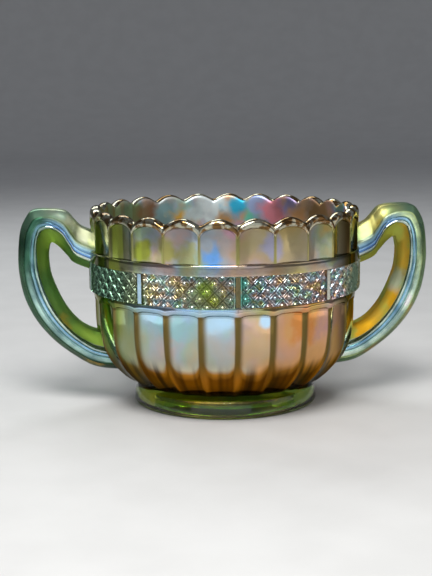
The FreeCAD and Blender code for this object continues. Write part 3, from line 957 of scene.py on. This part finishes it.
def handle_glass():
    """Deep green glass; the film is strong on the ribs and thin on the faces beside them. Its colour carries
    painted highlights, in lines along the ribs, on the paler tops and in a pale patch on the right handle's
    inner face, and painted shade over the ribs' grooves.
    """
    look = Look("handle_green")
    across = look.node("ShaderNodeAttribute", {}, attribute_name="across").outputs["Fac"]
    rib = look.span(look.math("ABSOLUTE", look.y), *RIB_DEPTH)
    right = look.span(look.x, *HANDLE_SIDES)
    low = look.span(look.z, *HANDLE_LOW)
    cloud = look.span(look.noise(85.0, 2.0), 0.35, 0.65)
    inner = look.mix(cloud, (0.18, 0.42, 0.06), (0.38, 0.58, 0.06))
    golden = look.mix(cloud, (0.74, 0.46, 0.05), (0.48, 0.54, 0.10))
    inner = look.mix(right, inner, golden)
    outer = look.mix(cloud, (0.02, 0.10, 0.04), (0.05, 0.18, 0.08))
    outer = look.mix(right, outer, look.mix(cloud, (0.10, 0.26, 0.06), (0.22, 0.36, 0.10)))
    glass = look.mix(look.span(across, 0.55, 0.75), inner, outer)
    for place, size in GOLD_CLOUDS:
        glass = look.mix(look.near(place, size), glass, (0.85, 0.46, 0.02))
    # Painted highlight: a pale blue-green patch half-way up the right handle's inner face
    pale = look.times(look.near(*PAINTED_HIGHLIGHT_CLOUD), 0.55)
    glass = look.mix(pale, glass, (0.50, 0.66, 0.66))
    reach = look.math("ABSOLUTE", look.x)
    arm = look.times(look.span(reach, *ARM_REACH), look.span(look.z, *ARM_HEIGHT))
    # The top of the handle and its upper arms are paler, cream and gilt: partly film colour, partly a painted
    # highlight on faces turned up to the light
    high = look.larger(look.span(look.z, *HANDLE_HIGH), arm)
    high = look.times(high, look.span(across, 0.6, 0.75))
    cream = look.mix(cloud, (0.80, 0.82, 0.54), (0.50, 0.72, 0.54))
    gilt = look.mix(cloud, (0.72, 0.60, 0.16), (0.46, 0.60, 0.24))
    bend = look.span(reach, *BEND_REACH)
    top = look.mix(bend, look.mix(right, cream, gilt), (0.26, 0.46, 0.30))
    glass = look.mix(high, glass, top)
    upper_teal = look.mix(right, (0.05, 0.15, 0.10), (0.62, 0.80, 0.46))
    lower_teal = look.mix(right, (0.40, 0.62, 0.58), (0.74, 0.95, 0.80))
    outer_teal = look.mix(low, upper_teal, lower_teal)
    # Painted highlight and shade lines across the rib, dimmed towards dark green on the -X handle except low
    # down
    lines = look.ramp(across, RIB_LIGHT_AND_SHADE)
    dim = look.span(look.x, *HANDLE_SIDES[::-1], 0.0, 0.55)
    dim = look.times(dim, look.span(low, 1.0, 0.0))
    lines = look.mix(dim, lines, (0.06, 0.18, 0.14))
    rib_film_and_highlights = look.mix(look.span(across, 0.63, 0.66), lines, outer_teal)
    edge = look.mix(right, (0.02, 0.09, 0.04), (0.58, 0.76, 0.34))
    rib_film_and_highlights = look.mix(look.span(across, 0.74, 0.80), rib_film_and_highlights, edge)
    # The upper arms get their own, brighter lines of painted highlight and shade
    rib_film_and_highlights = look.mix(arm, rib_film_and_highlights, look.ramp(across, ARM_LIGHT_AND_SHADE))
    uneven = look.noise(110.0, 3.0, shift=(0.1, 0.6, 0.3))
    tint = look.ramp(uneven, [(0.36, (0.5, 0.55, 0.6)), (0.64, (1.35, 1.3, 1.25))])
    rib_film_and_highlights = look.mix(1.0, rib_film_and_highlights, tint, "MULTIPLY")
    look.link("Base Color", look.mix(rib, glass, rib_film_and_highlights))
    inside = look.times(look.span(across, 0.60, 0.42), look.minus(1.0, rib))
    inner_film = look.times(inside, look.span(look.x, *HANDLE_SIDES, 0.45, 0.85))
    face = look.larger(inner_film, look.span(across, 0.42, 0.60, 0.0, 0.32))
    film = look.larger(look.times(rib, 0.78), look.times(high, 0.5))
    look.link("Metallic", look.larger(film, face))
    roughness = look.span(look.noise(160.0, 2.0), 0.3, 0.7, 0.06, 0.16)
    satin = look.larger(look.times(high, 0.26), look.times(inside, 0.42))
    look.link("Roughness", look.plus(roughness, satin))
    look.fixed(Transmission_Weight=1, IOR=GLASS_IOR, Specular_Tint=EDGE_TINT)
    look.ripple(look.noise(210.0, 2.0), 600.0, 0.25)
    return look.material


# Clouds of colour where the photograph shows them: place in mm, size in mm, colour
# Most clouds are film colour; those that are painted highlights are noted where they stand
COLLAR_CLOUDS = (
    ((-10, -52, 69), 5, (0.20, 0.48, 1.0)), ((-9, -52, 65), 5, (0.20, 0.48, 1.0)),
    ((-11, -51, 71), 5, (0.50, 0.56, 0.62)), ((13, -51, 69), 5, (0.46, 0.46, 0.62)),
    # The pink cloud at (-2, -52, 75), near the crest of the lip, is a painted highlight
    ((-18, -49, 65), 6, (0.46, 0.46, 0.22)), ((-2, -52, 75), 4, PINK),
    ((-26, -46, 68), 6, (0.44, 0.42, 0.14)), ((-35, -40, 66), 6, (0.36, 0.38, 0.05)),
    ((-44, -30, 70), 8, (0.20, 0.22, 0.10)),
)
INSIDE_CLOUDS = (
    ((-37, 33, 72), 9, (0.14, 0.36, 0.20)), ((-29, 41, 72), 7, (0.36, 0.18, 0.10)),
    ((-21, 45, 71), 7, (0.36, 0.62, 0.66)), ((-15, 48, 69), 6, (0.95, 0.60, 0.10)),
    # Painted highlights: the two near-white clouds in the middle of the back wall
    ((-8, 49, 72), 7, (0.80, 0.95, 0.95)), ((1, 50, 74), 10, (0.90, 1.0, 1.0)),
    ((6, 50, 68), 5, (0.70, 0.40, 0.16)), ((11, 49, 74), 7, (0.05, 0.60, 0.90)),
    ((16, 48, 69), 6, (0.20, 0.75, 0.55)), ((20, 46, 75), 7, (0.50, 0.60, 0.90)),
    ((27, 42, 71), 8, (0.95, 0.34, 0.42)), ((33, 38, 75), 6, (0.45, 0.40, 0.75)),
    ((36, 35, 70), 7, (0.90, 0.50, 0.24)), ((43, 26, 72), 8, (0.50, 0.30, 0.14)),
)
BAND_CLOUDS = (
    ((1, -54, 56), 3, TEAL), ((2, -54, 50), 3, TEAL), ((-12, -53, 54), 4, (0.55, 0.70, 0.20)),
    ((-9, -53, 50), 3, (0.60, 0.66, 0.20)), ((50, -23, 53), 14, (0.18, 0.28, 0.20)),
)
BODY_CLOUDS = (
    # On the body the small blue-white cloud at (11, -51, 41) is a painted highlight, and the blue-white cloud
    # at the top of a flute at (-6, -52, 42) is partly film colour, partly a painted highlight
    ((-24, -46, 39), 8, (0.36, 0.60, 0.64)), ((-6, -52, 42), 8, (0.44, 0.66, 0.84)),
    ((11, -51, 41), 3, PAINTED_HIGHLIGHT_BLUE), ((6, -51, 30), 9, (0.70, 0.50, 0.30)), ((26, -45, 38), 8, ORANGE),
    ((36, -38, 36), 7, (0.60, 0.34, 0.30)),
)

joint = clear_joint()
collar_film = film_glass(Film(
    "collar_film",
    middle=[(58, TAN), (63, SILVER), (70, TAN), (75, SILVER), (79.5, GOLD)],
    warm=[(58, GOLD), (63, TAN), (70, (0.56, 0.48, 0.26)), (79.5, GOLD)],
    left=(0.16, 0.17, 0.05), left_light_streaks=(0.46, 0.56, 0.05),
    arris=(OLIVE, (0.42, 0.40, 0.14)),
    arris_sharp=(0.88, 0.97), arris_soft=(0.84, 0.98),
    fluted=(LEDGE_TOP, RIM_CREST),
    cover=(0.72, 0.72),
    clouds=COLLAR_CLOUDS,
    lip=((0.22, 0.12, 0.04), (0.60, 0.58, 0.44)),
))
inside_film = film_glass(Film(
    "inside_film",
    middle=[(10, AMBER), (30, TAN), (58, SILVER), (70, (0.62, 0.80, 0.84)), (79, (0.80, 0.78, 0.70))],
    warm=[(10, AMBER), (30, GOLD), (58, PINK), (70, (0.80, 0.66, 0.62)), (79, PEACH)],
    left=(0.34, 0.32, 0.12), left_light_streaks=(0.40, 0.55, 0.30),
    cover=(0.6, 0.72), left_cover=0.9, patches=0.8,
    patch_scale=85.0, right_shade=0.0,
    clouds=INSIDE_CLOUDS,
    roughness=(0.42, 0.60), grain=0.0,
))
band_film = film_glass(Film(
    "band_film",
    middle=[(47, (0.46, 0.52, 0.28)), (52, (0.62, 0.70, 0.42)), (58, (0.64, 0.68, 0.42))],
    warm=[(47, (0.42, 0.36, 0.20)), (52, (0.44, 0.46, 0.28)), (58, (0.50, 0.50, 0.32))],
    left=(0.07, 0.15, 0.10), left_light_streaks=(0.14, 0.26, 0.18),
    cover=(0.66, 0.66), left_cover=0.9, patches=0.55,
    patch_scale=230.0, right_shade=0.0,
    clouds=BAND_CLOUDS,
    roughness=(0.20, 0.32), grain=0.8,
    # Bars: pale blue and silver painted reflections on the left and right, olive-brown in the middle
    bars=((0.60, 0.82, 0.98), (0.20, 0.17, 0.08), (0.72, 0.76, 0.70)),
))
body_film = film_glass(Film(
    "body_film",
    middle=[
        # Low on the body the film is deep amber, darkened as painted shade under the bowl
        (8, DEEP_AMBER_AND_SHADE), (17.5, DEEP_AMBER_AND_SHADE), (20, AMBER), (22, SILVER), (33, SILVER), (39, BLUE_SILVER),
        (45, (0.46, 0.68, 0.88)),
    ],
    warm=[
        (8, DEEP_AMBER_AND_SHADE), (17.5, DEEP_AMBER_AND_SHADE), (20, AMBER), (23, PEACH), (36, PEACH), (41, PEACH), (46, GOLD),
    ],
    left=MOSS, left_light_streaks=(0.30, 0.34, 0.08),
    arris=((0.26, 0.11, 0.01), (0.17, 0.12, 0.035)),
    arris_sharp=(0.76, 0.88), arris_soft=(0.58, 0.94),
    fluted=(0.0, BODY_ARCH_CROWN),
    corner=7 * MM,
    cover=(0.97, 0.88), left_cover=0.85, patches=0.3,
    patch_stretch=(1, 1, 0.5),
    clouds=BODY_CLOUDS,
))
foot_green = foot_glass()
handle_green = handle_glass()

collar = make_collar([collar_film, joint, inside_film])
band = make_band([band_film, joint, inside_film])
bowl = make_lower_bowl([body_film, joint, inside_film])
foot = make_foot([foot_green, joint])
right_handle = make_handle("right_handle_glass", 1, [handle_green, joint])
left_handle = make_handle("left_handle_glass", -1, [handle_green, joint])

PIECES = {
    "scalloped_collar": (collar, "iridescent_glass"),
    "diamond_band": (band, "band_glass"),
    "lower_bowl": (bowl, "iridescent_glass"),
    "foot_ring": (foot, "green_glass"),
    "left_handle": (left_handle, "handle_glass"),
    "right_handle": (right_handle, "handle_glass"),
}
for node, (piece, slot) in PIECES.items():
    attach(piece, "root")
    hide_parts(node)


# Camera: stands in front of the seam and a little to the left, looking down

CAMERA_DISTANCE = 0.500
CAMERA_HEIGHT = 0.1295
CAMERA_SWING = math.radians(5.2)
CAMERA_YAW = math.radians(-0.40)
CAMERA_PITCH = math.radians(9.53)
CAMERA_ROLL = math.radians(0.45)
CAMERA_LENS = 77.4


def make_camera():
    swing = Matrix.Rotation(-CAMERA_SWING, 3, "Z")
    level = Vector((math.sin(CAMERA_YAW), math.cos(CAMERA_YAW), 0))
    forward = level * math.cos(CAMERA_PITCH) - Vector((0, 0, math.sin(CAMERA_PITCH)))
    right = Vector((math.cos(CAMERA_YAW), -math.sin(CAMERA_YAW), 0))
    up = right.cross(forward)
    turned_right = right * math.cos(CAMERA_ROLL) - up * math.sin(CAMERA_ROLL)
    turned_up = right * math.sin(CAMERA_ROLL) + up * math.cos(CAMERA_ROLL)
    axes = Matrix((swing @ turned_right, swing @ turned_up, swing @ -forward)).transposed()
    data = bpy.data.cameras.new("camera")
    data.lens = CAMERA_LENS
    data.clip_start = 0.01
    camera = add_object("camera", data)
    place = swing @ Vector((0, -CAMERA_DISTANCE, CAMERA_HEIGHT))
    camera.matrix_world = Matrix.Translation(place) @ axes.to_4x4()
    bpy.context.scene.camera = camera


make_camera()


# Softboxes: name, place, target, size, power in watts, colour
SOFTBOXES = [
    ("front_softbox", (-0.08, -0.34, 0.52), (0, -0.14, 0), (0.34, 0.26), 3.6, WHITE),
    ("wall_softbox", (-0.25, -1.40, 0.42), (0, 0, 0.10), (2.2, 0.80), 4.4, (0.84, 0.92, 1.0)),
    ("side_softbox", (0.60, -0.20, 0.40), (0, 0, 0.04), (0.45, 0.60), 0.6, (1.0, 0.90, 0.78)),
    ("back_softbox", (-0.15, 0.50, 0.60), (0, 0, 0.05), (0.6, 0.25), 2.4, (0.92, 0.97, 1.0)),
]
# Panels that shine up from just above the floor, hidden from the camera: name, x, y, size, power, colour
FLOOR_PANELS = [
    ("front_panel", 0.0, -0.37, (0.50, 0.34), 0.15, WHITE),
    ("left_panel", -0.36, -0.16, (0.30, 0.34), 0.24, (0.82, 0.92, 1.0)),
    ("right_panel", 0.38, -0.16, (0.30, 0.34), 0.20, (1.0, 0.90, 0.78)),
]
PANEL_HEIGHT = 1 * MM
SKY_COLOR = (0.80, 0.86, 1.0)
SKY_STRENGTH = 0.24

FLOOR_RADII = [0.02, 0.1, 0.3, 0.8, 1.6]
WALL_CURVE = 0.6
WALL_TOP = 1.6


def area_light(name, place, target, size, power, color):
    data = bpy.data.lights.new(name, "AREA")
    data.shape = "RECTANGLE"
    data.size, data.size_y = size
    data.energy = power
    data.color = color
    light = add_object(name, data)
    light.location = place
    light.rotation_mode = "QUATERNION"
    light.rotation_quaternion = (Vector(target) - Vector(place)).to_track_quat("-Z", "Y")
    return light


def make_floor():
    """Round pale floor that curves up into a plain wall far behind the light."""
    turns = np.linspace(0, FULL_TURN, 97)[:-1]
    outline = [(radius, 0.0) for radius in FLOOR_RADII]
    for angle in quarter_steps(12):
        outline.append((FLOOR_RADII[-1] + WALL_CURVE * math.sin(angle), WALL_CURVE * (1 - math.cos(angle))))
    outline.append((FLOOR_RADII[-1] + WALL_CURVE, WALL_TOP))
    columns = len(turns)
    vertices = [(r * math.sin(t), -r * math.cos(t), z) for r, z in outline for t in turns] + [(0, 0, 0)]
    faces = []
    for row in range(len(outline) - 1):
        a, b = row * columns, (row + 1) * columns
        for i in range(columns):
            j = (i + 1) % columns
            faces.append((a + i, a + j, b + j, b + i))
    faces += [((i + 1) % columns, i, len(vertices) - 1) for i in range(columns)]
    look = Look("pale_floor")
    speckle = look.span(look.noise(35.0, 3.0), 0.3, 0.7)
    look.link("Base Color", look.mix(speckle, (0.60, 0.59, 0.57), (0.63, 0.62, 0.60)))
    look.link("Roughness", look.span(speckle, 0, 1, 0.8, 0.95))
    look.bump(look.noise(500.0, 3.0), 0.05 * MM)
    return new_object("floor", np.array(vertices), faces, [look.material])


def make_stage():
    make_floor()
    world = bpy.data.worlds.new("studio")
    bpy.context.scene.world = world
    world.use_nodes = True
    background = world.node_tree.nodes["Background"]
    set_socket(background.inputs["Color"], SKY_COLOR)
    set_socket(background.inputs["Strength"], SKY_STRENGTH)
    for softbox in SOFTBOXES:
        area_light(*softbox)
    for name, x, y, size, power, color in FLOOR_PANELS:
        panel = area_light(name, (x, y, PANEL_HEIGHT), (x, y, 1), size, power, color)
        panel.visible_camera = False
    bpy.context.scene.view_settings.view_transform = "Standard"


make_stage()
